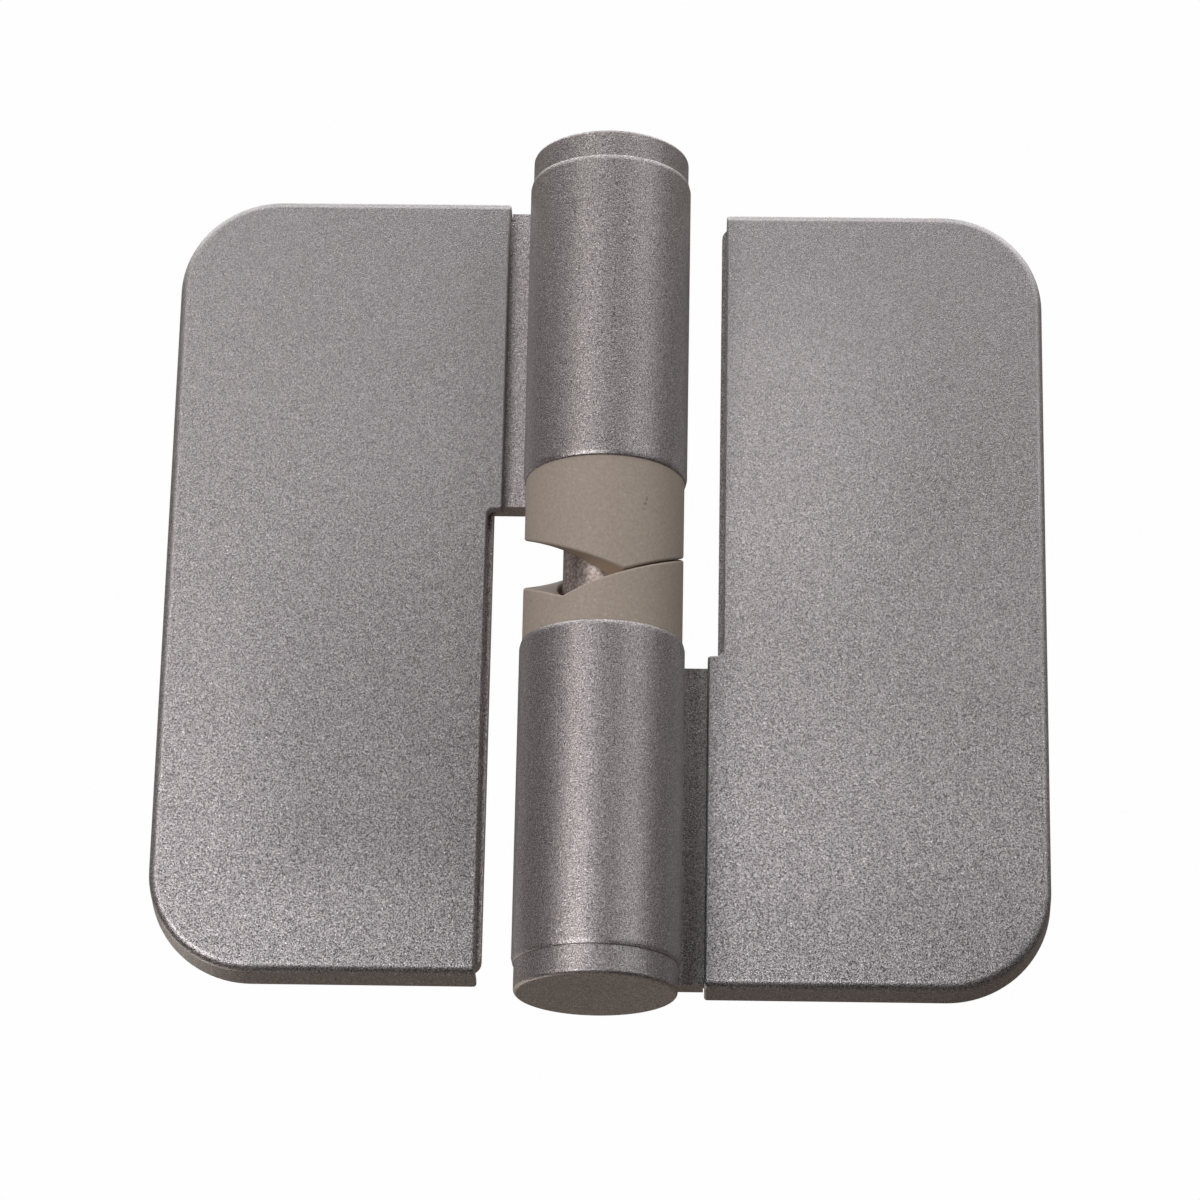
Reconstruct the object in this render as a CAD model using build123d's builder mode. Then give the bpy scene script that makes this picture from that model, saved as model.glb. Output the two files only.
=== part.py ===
from build123d import *
import os

# Self-closing gravity hinge for a washroom partition door, seen opened flat with its covers on.
# Millimetres. The barrel stands along Z with the hinge axis at x = 0, y = 0.
# The leaves lie behind the barrel (+Y) and the covers face -Y.
# The door leaf is on the left (-X) and carries the upper knuckle.
# The frame leaf is the same casting turned half a turn about Y, and carries the lower knuckle.
# The hinge is drawn as it lies loose on a bench: turned a part of a turn out of its seat,
# so that the upper cam has climbed one flank of the lower cam.

os.makedirs("parts", exist_ok=True)

# Barrel
barrel_d = 16.0
knuckle_h = 32.0
knuckle_chamfer = 0.45
socket_flats = 11.0

# Cams: one V-shaped tooth each, with two even ramps of half a turn, clear of the pin
cam_d = 15.5
cam_mouth_d = 8.8
ramp_lead = 19.0
lower_cam_base = 2.7
upper_cam_base = 2.1
seat_angle = -119.0
rest_turn = 45.0
ramp_gap = 0.12
shank_h = 22.0
shank_clearance = 0.05
ramp_path_r = 6.5
ramp_overrun = 1.04

# Pin
pin_d = 7.9
pin_clearance = 0.05
pin_head_d = 10.4
pin_head_h = 2.5
pin_end_play = 0.3
pin_tip_chamfer = 0.3
pin_top_margin = 0.3

# Caps
cap_d = 15.5
cap_h = 2.8
cap_chamfer = 0.45
cap_spigot_clearance = 0.02

# Leaves
leaf_back = 8.8
leaf_t = 2.6
leaf_inner_x = 11.2
leaf_inner_corner_r = 1.2
leaf_drop = 0.4
notch_corner_r = 0.3
web_ramp_run = 2.5
plate_root = 1.0

# Screw holes, for countersunk No. 8 screws
screw_hole_d = 4.6
screw_head_d = 7.8
screw_spacing_z = 28.0

# Covers
cover_h = 81.3
cover_outer_x = 43.5
cover_near_x = 10.2
cover_far_x = 11.65
cover_depth = 4.2
cover_wall = 0.9
cover_draft = 3.0
cover_corner_r = 10.2
cover_chamfer = 0.45
cover_gap = 0.27
cover_step_past_web = 0.85
web_clearance = 0.1

# Clips that hold a cover to its leaf: flat prongs on ribs, pushed into slots
clip_w = 7.0
clip_t = 1.5
clip_clearance = 0.05
clip_rib_w = 11.0
clip_rib_t = 2.6
clip_spacing_z = 28.0
clip_short = 0.4

# Derived heights. z = 0 is half way between the two knuckles as the hinge lies.
ramp_rise = ramp_lead / 2
lift = ramp_rise * rest_turn / 180
knuckle_gap = lower_cam_base + upper_cam_base + ramp_rise + lift + ramp_gap
frame_knuckle_top = -knuckle_gap / 2
door_knuckle_bottom = knuckle_gap / 2
door_knuckle_top = door_knuckle_bottom + knuckle_h
lower_seat_z = frame_knuckle_top + lower_cam_base
upper_tip_z = door_knuckle_bottom - upper_cam_base - ramp_rise
lower_shank_end = frame_knuckle_top - shank_h
upper_shank_end = door_knuckle_bottom + shank_h

leaf_front = leaf_back - leaf_t
leaf_outer_x = cover_outer_x - cover_wall - cover_gap
leaf_h = cover_h - 2 * (cover_wall + cover_gap)
leaf_top = door_knuckle_top - leaf_drop
leaf_bottom = leaf_top - leaf_h
leaf_mid_z = (leaf_top + leaf_bottom) / 2
web_end_x = cover_near_x - web_clearance
leaf_mid_x = -(leaf_inner_x + leaf_outer_x) / 2
leaf_corner_r = cover_corner_r - cover_wall - cover_gap
cover_top = leaf_mid_z + cover_h / 2
cover_bottom = leaf_mid_z - cover_h / 2
cover_step_z = door_knuckle_bottom - cover_step_past_web
cover_front = leaf_back - cover_depth
cover_inside = cover_front + cover_wall

# Upright planes through the hinge axis and the low point of each cam
seat_dir = Vector(1, 0, 0).rotate(Axis.Z, seat_angle)
seat_plane = Plane(origin=(0, 0, 0), x_dir=seat_dir, z_dir=seat_dir.rotate(Axis.Z, -90))
tip_dir = seat_dir.rotate(Axis.Z, rest_turn)
tip_plane = Plane(origin=(0, 0, 0), x_dir=tip_dir, z_dir=tip_dir.rotate(Axis.Z, -90))

# Faces that look out of the back and the front of the hinge
back_plane = Plane.XZ.offset(-leaf_back)
leaf_face = Plane(origin=(leaf_mid_x, leaf_front, leaf_mid_z), x_dir=(1, 0, 0), z_dir=(0, -1, 0))

# Door leaf: knuckle, web and screw plate cast in one, with an eight-sided socket for the cam
with BuildPart() as door_leaf:
    with BuildSketch(Plane.XY.offset(door_knuckle_bottom)):
        Circle(barrel_d / 2)
    extrude(amount=knuckle_h)
    chamfer(door_leaf.edges().filter_by(GeomType.CIRCLE), length=knuckle_chamfer)
    with BuildSketch(Plane.XY.offset(door_knuckle_bottom)):
        with BuildLine():
            Polyline(
                (0, leaf_front),
                (-web_end_x, leaf_front),
                (-web_end_x, leaf_back),
                (-web_ramp_run, leaf_back),
                (0, barrel_d / 2),
                close=True,
            )
        make_face()
    extrude(amount=knuckle_h)
    with BuildSketch(back_plane) as plate:
        with BuildLine():
            Polyline(
                (-leaf_outer_x, leaf_bottom),
                (-leaf_inner_x, leaf_bottom),
                (-leaf_inner_x, door_knuckle_bottom),
                (-web_end_x + plate_root, door_knuckle_bottom),
                (-web_end_x + plate_root, leaf_top),
                (-leaf_outer_x, leaf_top),
                close=True,
            )
        make_face()
        inner_edge = plate.vertices().group_by(Axis.X)[1]
        fillet(inner_edge.sort_by(Axis.Y)[0], radius=leaf_inner_corner_r)
        fillet(inner_edge.sort_by(Axis.Y)[-1], radius=notch_corner_r)
        fillet(plate.vertices().group_by(Axis.X)[0], radius=leaf_corner_r)
    extrude(amount=leaf_t)
    with BuildSketch(Plane.XY.offset(door_knuckle_bottom)):
        RegularPolygon(radius=socket_flats / 2, side_count=8, major_radius=False, rotation=22.5)
    extrude(amount=knuckle_h, mode=Mode.SUBTRACT)
    with Locations(leaf_face):
        with GridLocations(0, screw_spacing_z, 1, 3):
            CounterSinkHole(radius=screw_hole_d / 2, counter_sink_radius=screw_head_d / 2, depth=leaf_t)
    with BuildSketch(back_plane):
        with Locations((leaf_mid_x, leaf_mid_z)):
            with GridLocations(0, clip_spacing_z, 1, 2):
                Rectangle(clip_w + 2 * clip_clearance, clip_t + 2 * clip_clearance)
    extrude(amount=leaf_t, mode=Mode.SUBTRACT)

# Frame leaf: the same casting, turned half a turn about Y
with BuildPart() as frame_leaf:
    add(door_leaf.part.rotate(Axis.Y, 180))

# Door leaf cover: a drafted shell over the plate, cut straight and open on the side of the barrel
with BuildPart() as door_leaf_cover:
    with BuildSketch(back_plane) as outline:
        with BuildLine():
            Polyline(
                (-cover_outer_x, cover_bottom),
                (0, cover_bottom),
                (0, cover_top),
                (-cover_outer_x, cover_top),
                close=True,
            )
        make_face()
        fillet(outline.vertices().group_by(Axis.X)[0], radius=cover_corner_r)
    extrude(amount=cover_depth, taper=cover_draft)
    front_face = door_leaf_cover.faces().sort_by(Axis.Y)[0]
    chamfer(front_face.edges(), length=cover_chamfer)
    with BuildSketch(back_plane):
        with BuildLine():
            Polyline(
                (0, cover_bottom),
                (0, cover_top),
                (-cover_near_x, cover_top),
                (-cover_near_x, cover_step_z),
                (-cover_far_x, cover_step_z),
                (-cover_far_x, cover_bottom),
                close=True,
            )
        make_face()
    extrude(amount=cover_depth, mode=Mode.SUBTRACT)
    with BuildSketch(back_plane) as cavity:
        with BuildLine():
            Polyline(
                (-cover_outer_x + cover_wall, cover_bottom + cover_wall),
                (0, cover_bottom + cover_wall),
                (0, cover_top - cover_wall),
                (-cover_outer_x + cover_wall, cover_top - cover_wall),
                close=True,
            )
        make_face()
        fillet(cavity.vertices().group_by(Axis.X)[0], radius=cover_corner_r - cover_wall)
    extrude(amount=cover_depth - cover_wall, taper=cover_draft, mode=Mode.SUBTRACT)
    with BuildSketch(Plane.XZ.offset(-(cover_inside - cover_wall / 2))):
        with Locations((leaf_mid_x, leaf_mid_z)):
            with GridLocations(0, clip_spacing_z, 1, 2):
                Rectangle(clip_rib_w, clip_rib_t)
    extrude(amount=-(leaf_front - cover_inside + cover_wall / 2))
    with BuildSketch(Plane.XZ.offset(-leaf_front)):
        with Locations((leaf_mid_x, leaf_mid_z)):
            with GridLocations(0, clip_spacing_z, 1, 2):
                Rectangle(clip_w, clip_t)
    extrude(amount=-(leaf_t - clip_short))

# Frame leaf cover: the same moulding, turned half a turn about Y
with BuildPart() as frame_leaf_cover:
    add(door_leaf_cover.part.rotate(Axis.Y, 180))

# Lower cam: shank in the frame knuckle, and a face that falls to one low seat
with BuildPart() as lower_cam:
    with BuildSketch(Plane.XY.offset(frame_knuckle_top)):
        Circle(cam_d / 2)
    extrude(amount=lower_cam_base + ramp_rise)
    for left_hand in (False, True):
        with BuildLine(Plane.XY.offset(lower_seat_z)) as lower_run:
            Helix(
                pitch=ramp_lead,
                height=ramp_rise * ramp_overrun,
                radius=ramp_path_r,
                lefthand=left_hand,
            )
        with BuildSketch(seat_plane):
            with Locations((ramp_path_r, lower_seat_z + ramp_rise)):
                Rectangle(cam_d / 2, 2 * ramp_rise)
        sweep(path=lower_run.wire().rotate(Axis.Z, seat_angle), is_frenet=True, mode=Mode.SUBTRACT)
    with BuildSketch(Plane.XY.offset(lower_shank_end)):
        RegularPolygon(
            radius=socket_flats / 2 - shank_clearance, side_count=8, major_radius=False, rotation=22.5
        )
    extrude(amount=shank_h)
    Hole(radius=pin_d / 2 + pin_clearance)
    with BuildSketch(Plane.XY.offset(frame_knuckle_top)):
        Circle(cam_mouth_d / 2)
    extrude(amount=lower_cam_base + ramp_rise, mode=Mode.SUBTRACT)

# Upper cam: shank in the door knuckle, and the matching face hanging to one low tip
with BuildPart() as upper_cam:
    with BuildSketch(Plane.XY.offset(upper_tip_z)):
        Circle(cam_d / 2)
    extrude(amount=upper_cam_base + ramp_rise)
    for left_hand in (False, True):
        with BuildLine(Plane.XY.offset(upper_tip_z)) as upper_run:
            Helix(
                pitch=ramp_lead,
                height=ramp_rise,
                radius=ramp_path_r,
                lefthand=left_hand,
            )
        with BuildSketch(tip_plane):
            with Locations((ramp_path_r, upper_tip_z - ramp_rise)):
                Rectangle(cam_d / 2, 2 * ramp_rise)
        sweep(path=upper_run.wire().rotate(Axis.Z, seat_angle + rest_turn), is_frenet=True, mode=Mode.SUBTRACT)
    with BuildSketch(Plane.XY.offset(door_knuckle_bottom)):
        RegularPolygon(
            radius=socket_flats / 2 - shank_clearance, side_count=8, major_radius=False, rotation=22.5
        )
    extrude(amount=shank_h)
    Hole(radius=pin_d / 2 + pin_clearance)
    with BuildSketch(Plane.XY.offset(upper_tip_z)):
        Circle(cam_mouth_d / 2)
    extrude(amount=upper_cam_base + ramp_rise, mode=Mode.SUBTRACT)

# Hinge pin: headed below the lower cam, free to turn in both cams
with BuildPart() as hinge_pin:
    with BuildSketch(Plane.XY.offset(lower_shank_end - pin_end_play - pin_head_h)):
        Circle(pin_head_d / 2)
    extrude(amount=pin_head_h)
    with BuildSketch(Plane.XY.offset(lower_shank_end - pin_end_play)):
        Circle(pin_d / 2)
    extrude(amount=upper_shank_end - pin_top_margin - lower_shank_end + pin_end_play)
    chamfer(hinge_pin.edges().sort_by(Axis.Z)[-1], length=pin_tip_chamfer)

# Caps: a bevelled disc over each outer end of the barrel, plugged into the socket
cap_spigot_h = knuckle_h - shank_h - pin_head_h - 2 * pin_end_play
with BuildPart() as top_cap:
    with BuildSketch(Plane.XY.offset(door_knuckle_top)):
        Circle(cap_d / 2)
    extrude(amount=cap_h)
    chamfer(top_cap.edges().sort_by(Axis.Z)[-1], length=cap_chamfer)
    with BuildSketch(Plane.XY.offset(door_knuckle_top)):
        RegularPolygon(
            radius=socket_flats / 2 - cap_spigot_clearance,
            side_count=8,
            major_radius=False,
            rotation=22.5,
        )
    extrude(amount=-cap_spigot_h)

with BuildPart() as bottom_cap:
    add(top_cap.part.rotate(Axis.Y, 180))

pieces = {
    "door_leaf": door_leaf,
    "frame_leaf": frame_leaf,
    "door_leaf_cover": door_leaf_cover,
    "frame_leaf_cover": frame_leaf_cover,
    "upper_cam": upper_cam,
    "lower_cam": lower_cam,
    "hinge_pin": hinge_pin,
    "top_cap": top_cap,
    "bottom_cap": bottom_cap,
}
for piece_name, piece in pieces.items():
    piece.part.label = piece_name
    export_step(piece.part, f"parts/{piece_name}.step")
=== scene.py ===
from math import atan2, cos, degrees, pi, radians, sin, tan
import bpy
from mathutils import Matrix, Vector


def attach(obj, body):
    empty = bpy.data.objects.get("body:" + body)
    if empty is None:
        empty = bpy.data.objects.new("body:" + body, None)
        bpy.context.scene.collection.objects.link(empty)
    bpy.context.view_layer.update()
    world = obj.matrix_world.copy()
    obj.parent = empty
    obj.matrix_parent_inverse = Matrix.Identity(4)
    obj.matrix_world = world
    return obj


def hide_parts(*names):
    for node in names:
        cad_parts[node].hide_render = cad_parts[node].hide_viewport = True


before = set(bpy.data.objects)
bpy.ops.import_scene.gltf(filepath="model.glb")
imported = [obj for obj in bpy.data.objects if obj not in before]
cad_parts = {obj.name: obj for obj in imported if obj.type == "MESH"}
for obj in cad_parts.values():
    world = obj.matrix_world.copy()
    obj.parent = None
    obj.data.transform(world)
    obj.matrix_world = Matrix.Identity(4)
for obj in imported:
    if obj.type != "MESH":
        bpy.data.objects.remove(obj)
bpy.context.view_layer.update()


# Camera. The hinge stands upright and is seen from in front and well below its middle,
# through a long lens from less than half a metre, with the frame tipped by about a degree.
mm = 0.001
aim = Vector((-0.293 * mm, 0, -3.652 * mm))
camera_azimuth = radians(1.5)
camera_elevation = radians(-20.35)
camera_roll = radians(1.15)
camera_distance = 432.84 * mm
camera_lens = 133.97
film_width = 36

bpy.ops.object.select_all(action="DESELECT")
toward_camera = Vector((
    sin(camera_azimuth) * cos(camera_elevation),
    -cos(camera_azimuth) * cos(camera_elevation),
    sin(camera_elevation),
))
level_right = (-toward_camera).cross(Vector((0, 0, 1))).normalized()
level_up = level_right.cross(-toward_camera)
camera_right = level_right * cos(camera_roll) + level_up * sin(camera_roll)
camera_up = level_up * cos(camera_roll) - level_right * sin(camera_roll)
bpy.ops.object.camera_add()
camera = bpy.context.object
camera.name = "camera"
camera.data.sensor_width = film_width
camera.data.lens = camera_lens
camera.data.clip_start = 0.01
turned = Matrix((camera_right, camera_up, toward_camera)).transposed().to_4x4()
camera.matrix_world = Matrix.Translation(aim + toward_camera * camera_distance) @ turned
bpy.context.scene.camera = camera


# Studio. A plain pale floor below the camera, a white background, and surroundings that are
# dim and brownish low down and bright overhead.
floor_z = -600 * mm
floor_size = 8
# Height on the sphere of surroundings, from 0 straight down to 1 straight up, and brightness.
overhead_ring = ((0.45, 0), (0.62, 0.33), (0.78, 1), (0.88, 1), (1, 0.25))
overhead_white = (2.33, 2.28, 2.26, 1)
dim_in_front = (0.03, 0.025, 0.02, 1)
dim_behind = (0.185, 0.155, 0.132, 1)
behind_from, behind_to = -0.2, 0.6
backdrop_white = (0.99, 0.99, 0.99, 1)


def new_material(name):
    """A material with its node tree and its one shader, ready to be wired."""
    material = bpy.data.materials.new(name)
    material.use_nodes = True
    return material, material.node_tree, material.node_tree.nodes["Principled BSDF"]


def feed(tree, source, socket):
    """Links a socket to another node's output, or sets it to a plain number or colour."""
    if isinstance(source, bpy.types.NodeSocket):
        tree.links.new(source, socket)
    else:
        socket.default_value = source


def remap(tree, value, low, high, to_low=0, to_high=1):
    """Map Range node: spreads low..high over to_low..to_high, and stops at both ends."""
    node = tree.nodes.new("ShaderNodeMapRange")
    tree.links.new(value, node.inputs["Value"])
    node.inputs["From Min"].default_value = low
    node.inputs["From Max"].default_value = high
    node.inputs["To Min"].default_value = to_low
    node.inputs["To Max"].default_value = to_high
    return node.outputs["Result"]


def blend(tree, share, first, second):
    """Mix node: goes from the first colour to the second as the share goes from 0 to 1."""
    node = tree.nodes.new("ShaderNodeMix")
    node.data_type = "RGBA"
    tree.links.new(share, node.inputs["Factor"])
    feed(tree, first, node.inputs["A"])
    feed(tree, second, node.inputs["B"])
    return node.outputs["Result"]


bpy.ops.object.select_all(action="DESELECT")
bpy.ops.mesh.primitive_plane_add(size=floor_size, location=(0, 0, floor_z))
floor = bpy.context.object
floor.name = "floor"
floor_paper, _, surface = new_material("floor_paper")
surface.inputs["Base Color"].default_value = (0.85, 0.85, 0.85, 1)
surface.inputs["Roughness"].default_value = 0.9
floor.data.materials.append(floor_paper)
floor.visible_glossy = False
floor.visible_diffuse = False

studio = bpy.data.worlds.new("studio")
bpy.context.scene.world = studio
studio.use_nodes = True
air = studio.node_tree
direction = air.nodes.new("ShaderNodeTexCoord")
along = air.nodes.new("ShaderNodeSeparateXYZ")
air.links.new(direction.outputs["Generated"], along.inputs["Vector"])
overhead = air.nodes.new("ShaderNodeValToRGB")
air.links.new(along.outputs["Z"], overhead.inputs["Fac"])
stops = overhead.color_ramp.elements
for step, (rise, bright) in enumerate(overhead_ring):
    if step > 1:
        stops.new(rise)
    stops[step].position = rise
    stops[step].color = (bright, bright, bright, 1)
behind = remap(air, along.outputs["Y"], behind_from, behind_to)
low_room = blend(air, behind, dim_in_front, dim_behind)
room = blend(air, overhead.outputs["Color"], low_room, overhead_white)
ray = air.nodes.new("ShaderNodeLightPath")
backdrop = blend(air, ray.outputs["Is Camera Ray"], room, backdrop_white)
air.links.new(backdrop, air.nodes["Background"].inputs["Color"])
bpy.context.scene.view_settings.view_transform = "Standard"


# Soft boxes: the main one in front, to the left and a little low, whose reflection makes the
# stripe of the barrel, a tall and slightly warm one beside it, two weaker ones to the right,
# and one low behind on the left that lights the undersides.
def soft_box(name, azimuth, elevation, spread, rise, radiance, colour=(1, 1, 1)):
    """A rectangular light a metre away, facing the hinge, sized by the angles that it fills."""
    azimuth, elevation = radians(azimuth), radians(elevation)
    bpy.ops.object.light_add(type="AREA")
    box = bpy.context.object
    box.name = name
    box.data.shape = "RECTANGLE"
    box.data.size = 2 * tan(radians(spread) / 2) * cos(elevation)
    box.data.size_y = 2 * tan(radians(rise) / 2)
    box.data.energy = radiance * pi * box.data.size * box.data.size_y
    box.data.color = colour
    toward_box = Vector((
        sin(azimuth) * cos(elevation),
        -cos(azimuth) * cos(elevation),
        sin(elevation),
    ))
    box.location = toward_box
    box.rotation_euler = toward_box.to_track_quat("Z", "Y").to_euler()
    box.visible_camera = False


soft_box("key_box", -22.5, -7.5, 30, 15, 8.0, (1, 1, 1.02))
soft_box("tall_box", -30, -7.5, 15, 45, 2.8, (1.06, 0.95, 0.9))
soft_box("right_box", 52.5, 15, 30, 30, 0.8)
soft_box("right_core", 45, 7.5, 15, 15, 2.0)
soft_box("back_box", -135, -30, 30, 60, 1.2, (1.1, 1, 0.9))


# Leaves: two equal zinc castings, each a knuckle with an eight-sided socket, a short web and a
# screw plate, sprayed with a silver-grey metallic enamel. The frame leaf is screwed to the post;
# the door leaf is the same casting turned upside down and screwed to the door.
barrel_r = 8.0 * mm
barrel_sides = 144
knuckle_h = 32.0 * mm
knuckle_cam_round = 0.16 * mm
knuckle_cap_round = 0.07 * mm
knuckle_lead = 0.6 * mm
knuckle_lead_in = 0.15 * mm
knuckle_low = 8.3975 * mm
knuckle_high = knuckle_low + knuckle_h
socket_apothem = 5.5 * mm
plate_front = 6.2 * mm
plate_back = 8.8 * mm
web_end = 10.1 * mm
web_ramp = 2.5 * mm
plate_inner = 11.2 * mm
plate_root = 9.1 * mm
plate_outer = 42.33 * mm
plate_low = -38.9625 * mm
plate_high = 39.9975 * mm
plate_corner_r = 9.03 * mm
plate_inner_r = 1.2 * mm
plate_mid_x = (plate_inner + plate_outer) / 2
plate_mid_z = (plate_low + plate_high) / 2
screw_r = 2.3 * mm
screw_head_r = 3.9 * mm
sink_half_angle = radians(41)
sink_depth = (screw_head_r - screw_r) / tan(sink_half_angle)
drill_h = 4 * mm
drill_sides = 48
hole_spacing = 28.0 * mm
slot_w = 7.1 * mm
slot_t = 1.6 * mm
overrun = 1 * mm
hair = 0.01 * mm


def start(name, add_primitive, stretch=(1, 1, 1), **sizes):
    """Adds a primitive with nothing else selected, and puts its place and size in its mesh."""
    if bpy.context.object and bpy.context.object.mode != "OBJECT":
        bpy.ops.object.mode_set(mode="OBJECT")
    bpy.ops.object.select_all(action="DESELECT")
    add_primitive(**sizes)
    piece = bpy.context.object
    piece.name = piece.data.name = name
    piece.scale = stretch
    bpy.ops.object.transform_apply(location=True, rotation=True, scale=True)
    return piece


def block(name, low, high):
    """A box between two corners."""
    low, high = Vector(low), Vector(high)
    return start(
        name, bpy.ops.mesh.primitive_cube_add, high - low, size=1, location=(low + high) / 2
    )


def rod(name, radius, low, high, sides=barrel_sides, turn=0):
    """An upright cylinder on the hinge axis, between two heights."""
    return start(
        name,
        bpy.ops.mesh.primitive_cylinder_add,
        vertices=sides,
        radius=radius,
        depth=high - low,
        location=(0, 0, (low + high) / 2),
        rotation=(0, 0, turn),
    )


def eight_sided(name, apothem, low, high):
    """An upright eight-sided bar on the hinge axis, with a flat to the front."""
    return rod(name, apothem / cos(pi / 8), low, high, sides=8, turn=pi / 8)


def pick(piece, kind, wanted):
    """Selects the vertices, edges or faces whose corners pass, and stays in edit mode."""
    if piece.mode != "EDIT":
        bpy.ops.object.mode_set(mode="EDIT")
    bpy.ops.mesh.select_mode(type=kind)
    bpy.ops.mesh.select_all(action="DESELECT")
    bpy.ops.object.mode_set(mode="OBJECT")
    mesh = piece.data
    if kind == "VERT":
        for vertex in mesh.vertices:
            vertex.select = wanted([vertex.co])
    else:
        for part in mesh.edges if kind == "EDGE" else mesh.polygons:
            part.select = wanted([mesh.vertices[i].co for i in part.vertices])
    bpy.ops.object.mode_set(mode="EDIT")


def near(a, b):
    return abs(a - b) < 0.005 * mm


def at(**places):
    """A test for pick: every corner lies at the given x, y or z."""
    return lambda corners: all(
        near(getattr(corner, axis), place) for corner in corners for axis, place in places.items()
    )


def extrude(x, y, z):
    bpy.ops.mesh.extrude_region_move(TRANSFORM_OT_translate={"value": (x, y, z)})


def round_off(radius, steps, affect="EDGES"):
    """Rounds the selected edges or corners."""
    bpy.ops.mesh.bevel(offset=radius, segments=steps, affect=affect, clamp_overlap=False)


def trim(point, outward, close=True):
    """Cuts the whole piece along a plane and takes off what lies on the outward side."""
    bpy.ops.object.mode_set(mode="EDIT")
    bpy.ops.mesh.select_all(action="SELECT")
    bpy.ops.mesh.bisect(plane_co=point, plane_no=outward, use_fill=close, clear_outer=close)


def weld(piece, operation, tool):
    """Joins a tool shape to the piece or cuts it out, and removes the tool."""
    if bpy.context.object.mode != "OBJECT":
        bpy.ops.object.mode_set(mode="OBJECT")
    bpy.ops.object.select_all(action="DESELECT")
    piece.select_set(True)
    bpy.context.view_layer.objects.active = piece
    bpy.ops.object.modifier_add(type="BOOLEAN")
    cut = piece.modifiers[-1]
    cut.operation = operation
    cut.solver = "EXACT"
    cut.object = tool
    bpy.ops.object.modifier_apply(modifier=cut.name)
    bpy.data.objects.remove(tool)


def finish(piece, angle=35):
    """Shades the rounded edges smoothly and keeps the flats flat."""
    if bpy.context.object.mode != "OBJECT":
        bpy.ops.object.mode_set(mode="OBJECT")
    bpy.ops.object.select_all(action="DESELECT")
    piece.select_set(True)
    bpy.context.view_layer.objects.active = piece
    bpy.ops.object.shade_smooth_by_angle(angle=radians(angle))
    bpy.ops.object.modifier_add(type="WEIGHTED_NORMAL")
    piece.modifiers[-1].keep_sharp = True
    bpy.ops.object.modifier_apply(modifier=piece.modifiers[-1].name)


def turned_over(piece, name):
    """The same piece, turned half a turn about Y, with its own mesh."""
    bpy.ops.object.select_all(action="DESELECT")
    piece.select_set(True)
    bpy.context.view_layer.objects.active = piece
    bpy.ops.object.duplicate(linked=False)
    twin = bpy.context.object
    twin.name = twin.data.name = name
    twin.rotation_euler = (0, pi, 0)
    bpy.ops.object.transform_apply(location=False, rotation=True, scale=False)
    return twin


lead_scale = 1 - knuckle_lead_in / barrel_r
door_casting = rod(
    "door_leaf_casting", barrel_r, knuckle_low + knuckle_lead, knuckle_high - knuckle_lead
)
for end, way in ((knuckle_low + knuckle_lead, -1), (knuckle_high - knuckle_lead, 1)):
    pick(door_casting, "FACE", at(z=end))
    extrude(0, 0, way * knuckle_lead)
    bpy.ops.transform.resize(value=(lead_scale, lead_scale, 1), center_override=(0, 0, 0))
for end, rounding in ((knuckle_low, knuckle_cam_round), (knuckle_high, knuckle_cap_round)):
    pick(door_casting, "EDGE", at(z=end))
    round_off(rounding, steps=4)

web = block("web", (-web_end, plate_front, knuckle_low), (0, plate_back, knuckle_high))
trim((-web_ramp, plate_back, 0), Vector((plate_back - barrel_r, web_ramp, 0)).normalized())
weld(door_casting, "UNION", web)

plate = block(
    "plate", (-plate_outer, plate_front, plate_low), (-plate_inner, plate_back, plate_high)
)
trim((0, 0, knuckle_low), (0, 0, 1), close=False)
pick(
    plate,
    "FACE",
    lambda ends: all(near(e.x, -plate_inner) and e.z > knuckle_low - hair for e in ends),
)
extrude(plate_inner - plate_root, 0, 0)
pick(
    plate,
    "EDGE",
    lambda ends: near(ends[0].z, ends[1].z) and all(near(e.x, -plate_outer) for e in ends),
)
round_off(plate_corner_r, steps=20)
pick(plate, "EDGE", at(x=-plate_inner, z=plate_low))
round_off(plate_inner_r, steps=6)
weld(door_casting, "UNION", plate)

socket = eight_sided("socket", socket_apothem, knuckle_low - overrun, knuckle_high + overrun)
weld(door_casting, "DIFFERENCE", socket)

for hole in (-1, 0, 1):
    hole_z = plate_mid_z + hole * hole_spacing
    drill = start(
        "drill",
        bpy.ops.mesh.primitive_cylinder_add,
        vertices=drill_sides,
        radius=screw_r,
        depth=drill_h,
        location=(-plate_mid_x, plate_front + sink_depth + drill_h / 2, hole_z),
        rotation=(pi / 2, 0, 0),
    )
    pick(drill, "FACE", at(y=plate_front + sink_depth))
    extrude(0, -sink_depth, 0)
    bpy.ops.transform.resize(value=(screw_head_r / screw_r, 1, screw_head_r / screw_r))
    extrude(0, -overrun, 0)
    weld(door_casting, "DIFFERENCE", drill)
for hole in (-0.5, 0.5):
    slot_z = plate_mid_z + hole * hole_spacing
    chisel = block(
        "chisel",
        (-plate_mid_x - slot_w / 2, plate_front - overrun, slot_z - slot_t / 2),
        (-plate_mid_x + slot_w / 2, plate_back + overrun, slot_z + slot_t / 2),
    )
    weld(door_casting, "DIFFERENCE", chisel)
finish(door_casting)
frame_casting = turned_over(door_casting, "frame_leaf_casting")

# Values of the enamel. A noise lies mostly between its low and high, a flake glints where its
# own draw is above glint_from, and the grain changes between grain_bottom and grain_top.
noise_low, noise_high = 0.3, 0.7
flake_scale = 8600
glint_scale = 7600
glint_from, glint_to = 0.9, 1.0
glint_strength = 1.2
cloud_scale = 55
cloud_depth = 0.07
gloss_drift = 0.05
grain_top, grain_bottom = 40 * mm, -40 * mm


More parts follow.
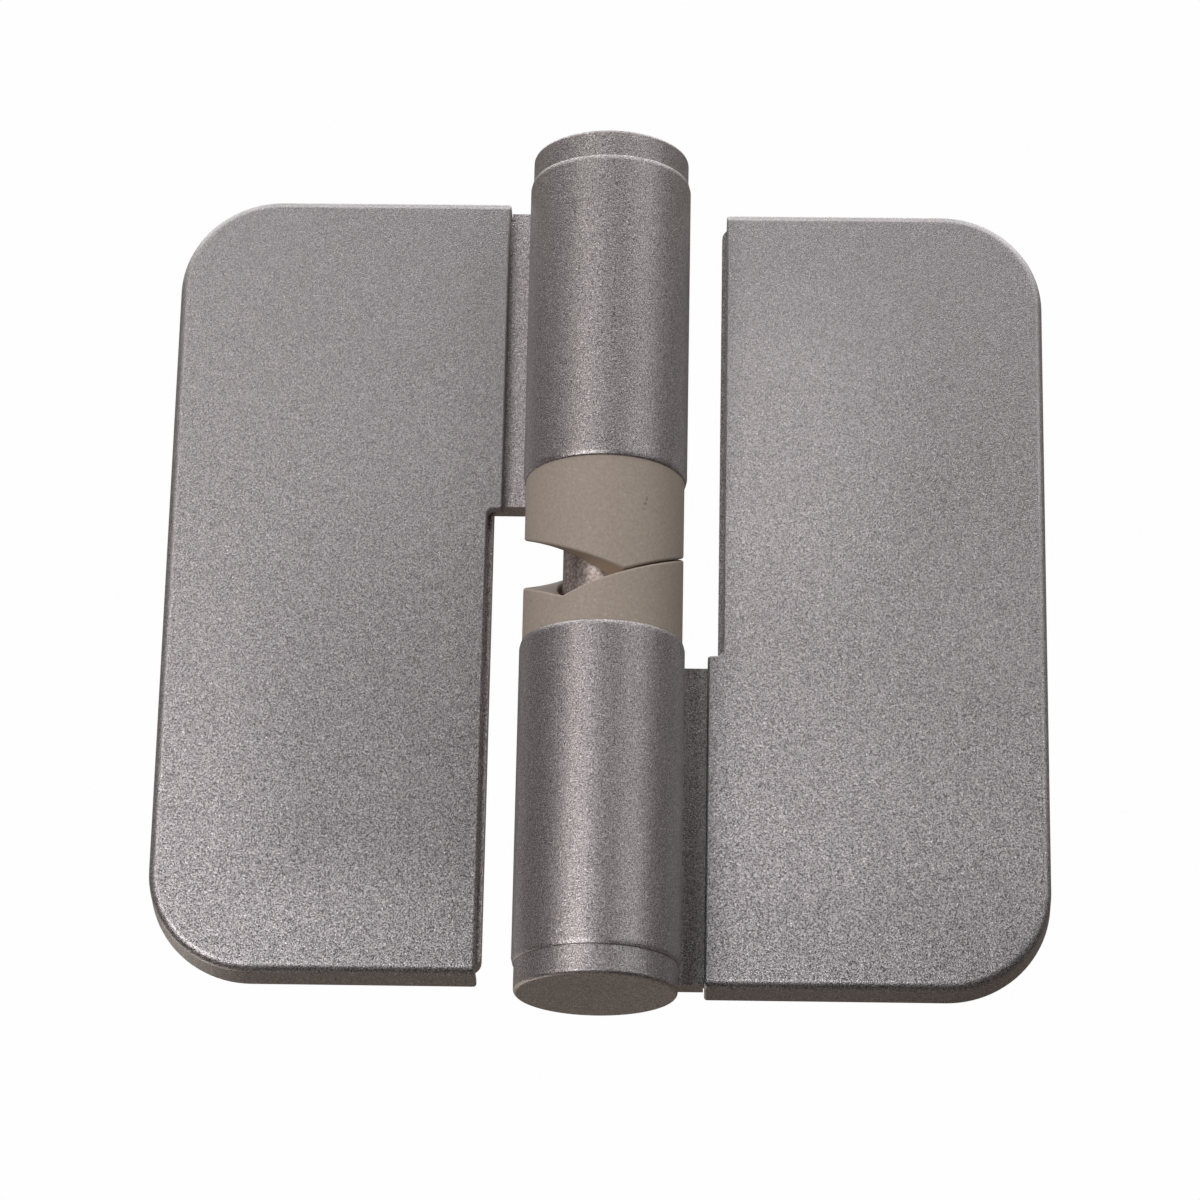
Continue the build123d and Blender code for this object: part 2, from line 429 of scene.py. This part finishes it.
def texture(tree, kind, place, **settings):
    """A texture node on the given coordinates."""
    node = tree.nodes.new(kind)
    tree.links.new(place, node.inputs["Vector"])
    for name, value in settings.items():
        node.inputs[name.title()].default_value = value
    return node


def calc(tree, operation, first, second):
    """A Math node on two numbers, each plain or from another node."""
    node = tree.nodes.new("ShaderNodeMath")
    node.operation = operation
    feed(tree, first, node.inputs[0])
    feed(tree, second, node.inputs[1])
    return node.outputs["Value"]


def shaded(tree, colour, tone):
    """A colour, plain or from another node, times a tone."""
    node = tree.nodes.new("ShaderNodeVectorMath")
    node.operation = "SCALE"
    feed(tree, colour, node.inputs[0])
    tree.links.new(tone, node.inputs["Scale"])
    return node.outputs["Vector"]


def bumped(tree, height, distance, under=None):
    """A surface that stands up by a height times a distance, on top of another such surface."""
    node = tree.nodes.new("ShaderNodeBump")
    node.inputs["Distance"].default_value = distance
    tree.links.new(height, node.inputs["Height"])
    if under is not None:
        tree.links.new(under, node.inputs["Normal"])
    return node.outputs["Normal"]


def silver_enamel(
    name, shade, roughness, grain, pebble, crown_r=None, crown_x=0, calm=1, patches=()
):
    """Silver-grey metallic enamel: sparkling flakes, slow clouds of shade and a pebbled skin.

    A crown makes each plate very slightly domed from side to side, with the given radius and
    the given distance of its highest line from the hinge axis. Calm below 1 is how far the
    grain sinks toward the upper end. A patch is a gain of tone that paints in light or shade,
    with the places along the axes between which it sets in.
    """
    paint, tree, surface = new_material(name)
    place = tree.nodes.new("ShaderNodeTexCoord").outputs["Object"]
    noise, cells = "ShaderNodeTexNoise", "ShaderNodeTexVoronoi"
    flakes = texture(tree, noise, place, scale=flake_scale, detail=1, roughness=0.5)
    glints = texture(tree, cells, place, scale=glint_scale, randomness=1)
    clouds = texture(tree, noise, place, scale=cloud_scale, detail=3, roughness=0.55)
    glint_pick = tree.nodes.new("ShaderNodeSeparateColor")
    tree.links.new(glints.outputs["Color"], glint_pick.inputs["Color"])
    where = tree.nodes.new("ShaderNodeSeparateXYZ")
    tree.links.new(place, where.inputs["Vector"])

    depth = remap(tree, where.outputs["Z"], grain_top, grain_bottom, calm, 1)
    flake = remap(tree, flakes.outputs["Fac"], noise_low, noise_high, -grain, grain)
    glint = remap(
        tree, glint_pick.outputs["Red"], glint_from, glint_to, 0, glint_strength * grain
    )
    grained = calc(
        tree,
        "ADD",
        calc(tree, "MULTIPLY", flake, depth),
        calc(tree, "MULTIPLY", glint, depth),
    )
    cloud = remap(
        tree, clouds.outputs["Fac"], noise_low, noise_high, 1 - cloud_depth, 1 + cloud_depth
    )
    tone = calc(tree, "MULTIPLY", calc(tree, "ADD", grained, 1), cloud)
    for gain, limits in patches:
        share = None
        for axis, outside, inside in limits:
            reached = remap(tree, where.outputs[axis], outside, inside)
            share = reached if share is None else calc(tree, "MULTIPLY", share, reached)
        tone = calc(tree, "MULTIPLY", tone, remap(tree, share, 0, 1, 1, 1 + gain))
    tree.links.new(shaded(tree, shade, tone), surface.inputs["Base Color"])
    surface.inputs["Metallic"].default_value = 0.82
    dull, glossy = roughness + gloss_drift, roughness - gloss_drift
    gloss = remap(tree, clouds.outputs["Fac"], noise_low, noise_high, dull, glossy)
    tree.links.new(gloss, surface.inputs["Roughness"])

    domed = None
    if crown_r:
        from_axis = calc(tree, "ABSOLUTE", where.outputs["X"], 0)
        from_crown = calc(tree, "SUBTRACT", from_axis, crown_x)
        fall = calc(tree, "MULTIPLY", calc(tree, "POWER", from_crown, 2), -0.5 / crown_r)
        domed = bumped(tree, fall, 1.0)
    skin = bumped(tree, flakes.outputs["Fac"], pebble, domed)
    tree.links.new(skin, surface.inputs["Normal"])
    return paint


# Painted light: the front of the upper web is painted a little lighter.
# Painted shade: the front of the lower web is painted darker downward, as the barrel's shade.
web_front = ("Y", plate_front + 0.3 * mm, plate_front + 0.1 * mm)
door_web = ("X", -8.05 * mm, -8.2 * mm)
frame_web = ("X", 8.05 * mm, 8.2 * mm)
downward = ("Z", -15 * mm, -38 * mm)
enamel_pebble = 0.036 * mm
leaf_enamel = silver_enamel(
    "leaf_enamel", (0.357, 0.335, 0.337), roughness=0.36, grain=0.6, pebble=enamel_pebble,
    patches=((0.36, (web_front, door_web)), (-0.32, (web_front, frame_web, downward))),
)
for casting, body, node in (
    (door_casting, "door", "door_leaf"),
    (frame_casting, "frame", "frame_leaf"),
):
    casting.data.materials.clear()
    casting.data.materials.append(leaf_enamel)
    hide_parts(node)
    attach(casting, body)


# Lift cams: two greige nylon mouldings, one pushed into each knuckle by its eight-sided shank.
# Each has a single V-shaped tooth of two even ramps, so that the door climbs as it turns
# and slides back to the seat by its own weight.
cam_r = 7.75 * mm
cam_mouth_r = 4.4 * mm
cam_bore_r = 4.0 * mm
ramp_rise = 9.5 * mm
lower_seat_angle = -119
upper_tip_angle = -74
lower_seat_z = -5.6975 * mm
upper_tip_z = -3.2025 * mm
shank_apothem = 5.45 * mm
shank_h = 22.0 * mm
cam_round = 0.25 * mm
cam_sides = 120
# This turn puts a row of points on every seat, tip and crest.
cam_turn = radians(1)


def nylon_cam(name, flange_z, shank_end_z, low_z, low_angle):
    """A ring with a ramped face, rounded along its edges, on an eight-sided bored shank."""
    cam = start(
        name,
        bpy.ops.mesh.primitive_circle_add,
        vertices=cam_sides,
        radius=cam_r,
        location=(0, 0, flange_z),
        rotation=(0, 0, cam_turn),
    )
    bpy.ops.object.mode_set(mode="EDIT")
    bpy.ops.mesh.select_mode(type="EDGE")
    bpy.ops.mesh.select_all(action="SELECT")
    reach = low_z + ramp_rise / 2 - flange_z
    to_mouth = cam_mouth_r / cam_r
    extrude(0, 0, reach)
    extrude(0, 0, 0)
    bpy.ops.transform.resize(value=(to_mouth, to_mouth, 1))
    extrude(0, 0, -reach)
    bpy.ops.mesh.select_all(action="SELECT")
    bpy.ops.object.mode_set(mode="OBJECT")
    for vertex in cam.data.vertices:
        if not near(vertex.co.z, flange_z):
            turn = (degrees(atan2(vertex.co.y, vertex.co.x)) - low_angle + 180) % 360 - 180
            vertex.co.z = low_z + ramp_rise * abs(turn) / 180
    pick(cam, "EDGE", at(z=flange_z))
    bpy.ops.mesh.bridge_edge_loops()
    bpy.ops.mesh.select_all(action="SELECT")
    bpy.ops.mesh.normals_make_consistent(inside=False)

    def on_rim(ends):
        """An edge round the ramped face, or across it at its lowest or highest line."""
        if any(near(e.z, flange_z) for e in ends):
            return False
        if abs(ends[0].xy.length - ends[1].xy.length) < 0.05 * mm:
            return True
        past_line = [(degrees(atan2(e.y, e.x)) - low_angle + 360.5) % 180 for e in ends]
        return all(turn < 1 for turn in past_line)

    pick(cam, "EDGE", on_rim)
    round_off(cam_round, steps=4)
    low, high = sorted((flange_z, shank_end_z))
    shank = eight_sided("shank", shank_apothem, low, high)
    bore = rod("bore", cam_bore_r, low - overrun, high + overrun, sides=cam_sides)
    weld(shank, "DIFFERENCE", bore)
    weld(cam, "UNION", shank)
    finish(cam, angle=30)
    return cam


lower_nylon = nylon_cam(
    "lower_cam_nylon", -knuckle_low, -knuckle_low - shank_h, lower_seat_z, lower_seat_angle
)
upper_nylon = nylon_cam(
    "upper_cam_nylon", knuckle_low, knuckle_low + shank_h, upper_tip_z, upper_tip_angle
)


def distance(tree, place, point):
    """How far the surface is from a point."""
    node = tree.nodes.new("ShaderNodeVectorMath")
    node.operation = "DISTANCE"
    tree.links.new(place, node.inputs[0])
    node.inputs[1].default_value = point
    return node.outputs["Value"]


greige_nylon, tree, surface = new_material("greige_nylon")
place = tree.nodes.new("ShaderNodeTexCoord").outputs["Object"]
mould_skin = texture(tree, "ShaderNodeTexNoise", place, scale=3800, detail=2)
blush = texture(tree, "ShaderNodeTexNoise", place, scale=240, detail=3)
specks = texture(tree, "ShaderNodeTexVoronoi", place, scale=1800)
greige, paler_greige = (0.33, 0.278, 0.232, 1), (0.365, 0.312, 0.262, 1)
nylon_tone = blend(tree, blush.outputs["Fac"], greige, paler_greige)
speck = remap(tree, specks.outputs["Distance"], 0.08, 0.26, 0.4, 0)
nylon_tone = blend(tree, speck, nylon_tone, (0.45, 0.41, 0.37, 1))
mould_tone = remap(tree, mould_skin.outputs["Fac"], noise_low, noise_high, 0.9, 1.1)
nylon_tone = shaded(tree, nylon_tone, mould_tone)
# Small scuffs with dirt in them, a few close together on the upper cam and one on the lower.
scuff_brown = (0.1, 0.08, 0.06, 1)
for x, z, size in (
    (4.19, 4.52, 0.14), (4.2, 4.39, 0.15), (4.17, 4.26, 0.15),
    (4.1, 3.84, 0.18), (3.96, 3.79, 0.19), (3.9, 3.22, 0.17), (-6.825, -5.19, 0.2),
):
    front = -((cam_r ** 2 - (x * mm) ** 2) ** 0.5)
    off_scuff = distance(tree, place, (x * mm, front, z * mm))
    scuff = remap(tree, off_scuff, 0.2 * size * mm, size * mm, 0.6, 0)
    nylon_tone = blend(tree, scuff, nylon_tone, scuff_brown)
# Painted light: the upper cam's ramp is painted paler and yellowish near the front, where
# light comes in through the gap between the cams.
flattened = tree.nodes.new("ShaderNodeVectorMath")
flattened.operation = "MULTIPLY"
tree.links.new(place, flattened.inputs[0])
flattened.inputs[1].default_value = (1, 1, 0)
off_axis = distance(tree, flattened.outputs["Vector"], (0, 0, 0))
off_lit_ramp = distance(tree, place, (-0.5 * mm, -6 * mm, -1.8 * mm))
within_rim = remap(tree, off_axis, 7.6 * mm, 7.45 * mm)
within_lit_ramp = remap(tree, off_lit_ramp, 4 * mm, 2.5 * mm)
ramp_painted_light = calc(tree, "MULTIPLY", within_rim, within_lit_ramp)
nylon_tone = blend(tree, ramp_painted_light, nylon_tone, (0.5, 0.38, 0.28, 1))
tree.links.new(nylon_tone, surface.inputs["Base Color"])
surface.inputs["Roughness"].default_value = 0.55
surface.inputs["Subsurface Weight"].default_value = 0.1
surface.inputs["Subsurface Radius"].default_value = (1.0, 0.7, 0.45)
surface.inputs["Subsurface Scale"].default_value = 0.4 * mm
skin = bumped(tree, mould_skin.outputs["Fac"], 0.012 * mm)
tree.links.new(skin, surface.inputs["Normal"])
for cam, body, node in (
    (lower_nylon, "frame", "lower_cam"),
    (upper_nylon, "door", "upper_cam"),
):
    cam.data.materials.append(greige_nylon)
    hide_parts(node)
    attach(cam, body)


# Hinge pin: turned from steel bar, with a flat head below the lower cam. It runs free through
# both cams and shows in the gap between them, where its turned skin is grimy.
pin_r = 3.95 * mm
pin_head_r = 5.2 * mm
pin_head_low = -33.1975 * mm
pin_head_high = -30.6975 * mm
pin_top = 30.0975 * mm
pin_tip_round = 0.3 * mm
pin_sides = 96


def on_pin_rim(ends):
    """An edge round the pin's tip, or round the rim of its head, above or below."""
    if all(near(e.z, pin_top) for e in ends):
        return True
    outer = all(e.xy.length > pin_r + 0.5 * mm for e in ends)
    on_face = all(near(e.z, pin_head_low) or near(e.z, pin_head_high) for e in ends)
    return outer and on_face and near(ends[0].z, ends[1].z)


turned_pin = rod("turned_pin", pin_head_r, pin_head_low, pin_head_high, sides=pin_sides)
pick(turned_pin, "FACE", at(z=pin_head_high))
extrude(0, 0, 0)
bpy.ops.transform.resize(value=(pin_r / pin_head_r, pin_r / pin_head_r, 1))
extrude(0, 0, pin_top - pin_head_high)
pick(turned_pin, "EDGE", on_pin_rim)
round_off(pin_tip_round, steps=3)
finish(turned_pin)

turned_steel, tree, surface = new_material("turned_steel")
place = tree.nodes.new("ShaderNodeTexCoord").outputs["Object"]
lay_out = tree.nodes.new("ShaderNodeMapping")
lay_out.inputs["Scale"].default_value = (300, 300, 9000)
tree.links.new(place, lay_out.inputs["Vector"])
lathe_lines = texture(
    tree, "ShaderNodeTexNoise", lay_out.outputs["Vector"], scale=1, detail=2
)
grime = texture(tree, "ShaderNodeTexNoise", place, scale=3200, detail=4)
grimy = remap(tree, grime.outputs["Fac"], 0.38, 0.6)
bright_steel, brown_grime = (0.82, 0.76, 0.75, 1), (0.45, 0.36, 0.33, 1)
tree.links.new(blend(tree, grimy, bright_steel, brown_grime), surface.inputs["Base Color"])
surface.inputs["Metallic"].default_value = 0.9
surface.inputs["Roughness"].default_value = 0.38
skin = bumped(tree, lathe_lines.outputs["Fac"], 0.01 * mm)
tree.links.new(skin, surface.inputs["Normal"])
turned_pin.data.materials.append(turned_steel)
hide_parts("hinge_pin")
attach(turned_pin, "pin")


# Barrel caps: two discs with a rounded rim, sprayed like the leaves. An eight-sided plug
# pushes each one into the outer end of its knuckle's socket.
cap_r = 7.75 * mm
cap_h = 2.8 * mm
cap_round = 0.4 * mm
plug_apothem = 5.48 * mm
plug_h = 6.9 * mm

top_disc = rod("top_cap_disc", cap_r, knuckle_high, knuckle_high + cap_h)
pick(top_disc, "EDGE", at(z=knuckle_high + cap_h))
round_off(cap_round, steps=6)
plug = eight_sided("plug", plug_apothem, knuckle_high - plug_h, knuckle_high + overrun)
weld(top_disc, "UNION", plug)
finish(top_disc)
bottom_disc = turned_over(top_disc, "bottom_cap_disc")

# Painted light: the outer face of the lower cap is painted lighter than its side.
cap_face = -knuckle_high - cap_h
on_cap_face = ("Z", cap_face + 0.12 * mm, cap_face + 0.04 * mm)
cap_enamel = silver_enamel(
    "cap_enamel", (0.345, 0.326, 0.326), roughness=0.38, grain=0.6, pebble=enamel_pebble,
    patches=((0.5, (on_cap_face,)),),
)
for disc, body, node in ((top_disc, "door", "top_cap"), (bottom_disc, "frame", "bottom_cap")):
    disc.data.materials.clear()
    disc.data.materials.append(cap_enamel)
    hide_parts(node)
    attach(disc, body)


# Leaf covers: two equal thin shells that hide the screws, drafted at their edges, rounded along
# the front and open towards the barrel. Two ribs inside each one end in flat prongs, which push
# into slots in the leaf. They have the same silver-grey enamel.
cover_outer = 43.5 * mm
cover_far = 11.65 * mm
cover_near = 10.2 * mm
cover_low = -40.1325 * mm
cover_high = 41.1675 * mm
cover_step = 7.5475 * mm
cover_front = 4.6 * mm
cover_wall = 0.9 * mm
cover_draft = (plate_back - cover_front) * tan(radians(3))
cover_corner_r = 10.2 * mm
cover_round = 0.85 * mm
cover_cut = 6.0 * mm
cover_cut_round = 0.3 * mm
cover_rim_band = 0.3 * mm
step_corner_r = 0.4 * mm
step_fillet_r = 0.6 * mm
rib_w = 11.0 * mm
rib_t = 2.6 * mm
prong_w = 7.0 * mm
prong_t = 1.5 * mm
prong_tip = plate_back - 0.4 * mm

# The blank is folded up from a flat sheet, longer toward the barrel than the cover will be.
door_moulding = start(
    "door_cover_moulding",
    bpy.ops.mesh.primitive_plane_add,
    stretch=(cover_outer - cover_cut, cover_high - cover_low, 1),
    size=1,
    location=(-(cover_outer + cover_cut) / 2, plate_back, (cover_low + cover_high) / 2),
    rotation=(pi / 2, 0, 0),
)
pick(door_moulding, "VERT", at(x=-cover_outer))
round_off(cover_corner_r, steps=24, affect="VERTICES")
bpy.ops.mesh.select_mode(type="FACE")
bpy.ops.mesh.select_all(action="SELECT")
bpy.ops.mesh.inset(
    thickness=cover_draft, depth=plate_back - cover_front, use_even_offset=True, use_boundary=True
)
pick(door_moulding, "FACE", lambda ends: all(e.x > -cover_cut - overrun for e in ends))
bpy.ops.mesh.delete(type="FACE")
bpy.ops.object.mode_set(mode="OBJECT")
bpy.ops.object.modifier_add(type="SOLIDIFY")
shell = door_moulding.modifiers[-1]
shell.thickness = cover_wall
shell.offset = -1
shell.use_even_offset = True
bpy.ops.object.modifier_apply(modifier=shell.name)
pick(door_moulding, "VERT", lambda ends: ends[0].y > plate_back - cover_rim_band)
bpy.ops.transform.resize(value=(1, 0, 1), center_override=(0, plate_back, 0))
pick(
    door_moulding,
    "EDGE",
    lambda ends: all(near(e.y, cover_front) for e in ends)
    and any(e.x < -cover_cut - overrun for e in ends),
)
round_off(cover_round, steps=8)
trim((-cover_near, 0, 0), (1, 0, 0))
saw = block(
    "saw",
    (-cover_far, cover_front - overrun, cover_low - overrun),
    (-cover_cut, plate_back + overrun, cover_step),
)
pick(saw, "EDGE", at(x=-cover_far, z=cover_step))
round_off(step_fillet_r, steps=6)
weld(door_moulding, "DIFFERENCE", saw)
pick(door_moulding, "EDGE", at(x=-cover_near, z=cover_step))
round_off(step_corner_r, steps=5)


def on_cut_edge(ends):
    """An edge of the straight cut that can be seen or felt from outside."""
    if all(near(e.y, plate_back) for e in ends):
        return False
    inside = all(
        e.y > cover_front + cover_wall - hair
        and cover_low + cover_wall - 0.1 * mm < e.z < cover_high - cover_wall + 0.1 * mm
        for e in ends
    )
    if inside:
        return False
    on_near = all(near(e.x, -cover_near) and e.z > cover_step - hair for e in ends)
    on_far = all(near(e.x, -cover_far) and e.z < cover_step + hair for e in ends)
    on_front = all(near(e.y, cover_front) and e.x > -cover_far - hair for e in ends)
    return on_near or on_far or on_front


pick(door_moulding, "EDGE", on_cut_edge)
round_off(cover_cut_round, steps=5)

for prong in (-0.5, 0.5):
    prong_z = plate_mid_z + prong * hole_spacing
    rib = block(
        "rib",
        (-plate_mid_x - rib_w / 2, cover_front + cover_wall / 2, prong_z - rib_t / 2),
        (-plate_mid_x + rib_w / 2, plate_front, prong_z + rib_t / 2),
    )
    pick(rib, "FACE", at(y=plate_front))
    extrude(0, 0, 0)
    bpy.ops.transform.resize(value=(prong_w / rib_w, 1, prong_t / rib_t))
    extrude(0, prong_tip - plate_front, 0)
    weld(door_moulding, "UNION", rib)
finish(door_moulding)
frame_moulding = turned_over(door_moulding, "frame_cover_moulding")

# Painted shade low on both covers and painted light high on the frame leaf's.
door_side = ("X", -5 * mm, -8 * mm)
frame_side = ("X", 5 * mm, 8 * mm)
door_painted_shade = (
    door_side, ("X", -37 * mm, -29 * mm), ("Z", 12 * mm, -16 * mm), ("Z", -34 * mm, -27 * mm),
)
frame_painted_shade = (frame_side, ("Z", -26 * mm, -36 * mm))
frame_painted_light = (
    frame_side, ("X", 32 * mm, 20 * mm), ("Z", -6 * mm, 6 * mm), ("Z", 34 * mm, 24 * mm),
)
cover_enamel = silver_enamel(
    "cover_enamel", (0.396, 0.380, 0.390), roughness=0.4, grain=0.78, pebble=enamel_pebble,
    crown_r=400 * mm, crown_x=40 * mm, calm=0.3,
    patches=((-0.18, door_painted_shade), (-0.15, frame_painted_shade), (0.16, frame_painted_light)),
)
for moulding, body, node in (
    (door_moulding, "door", "door_leaf_cover"),
    (frame_moulding, "frame", "frame_leaf_cover"),
):
    moulding.data.materials.clear()
    moulding.data.materials.append(cover_enamel)
    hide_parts(node)
    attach(moulding, body)
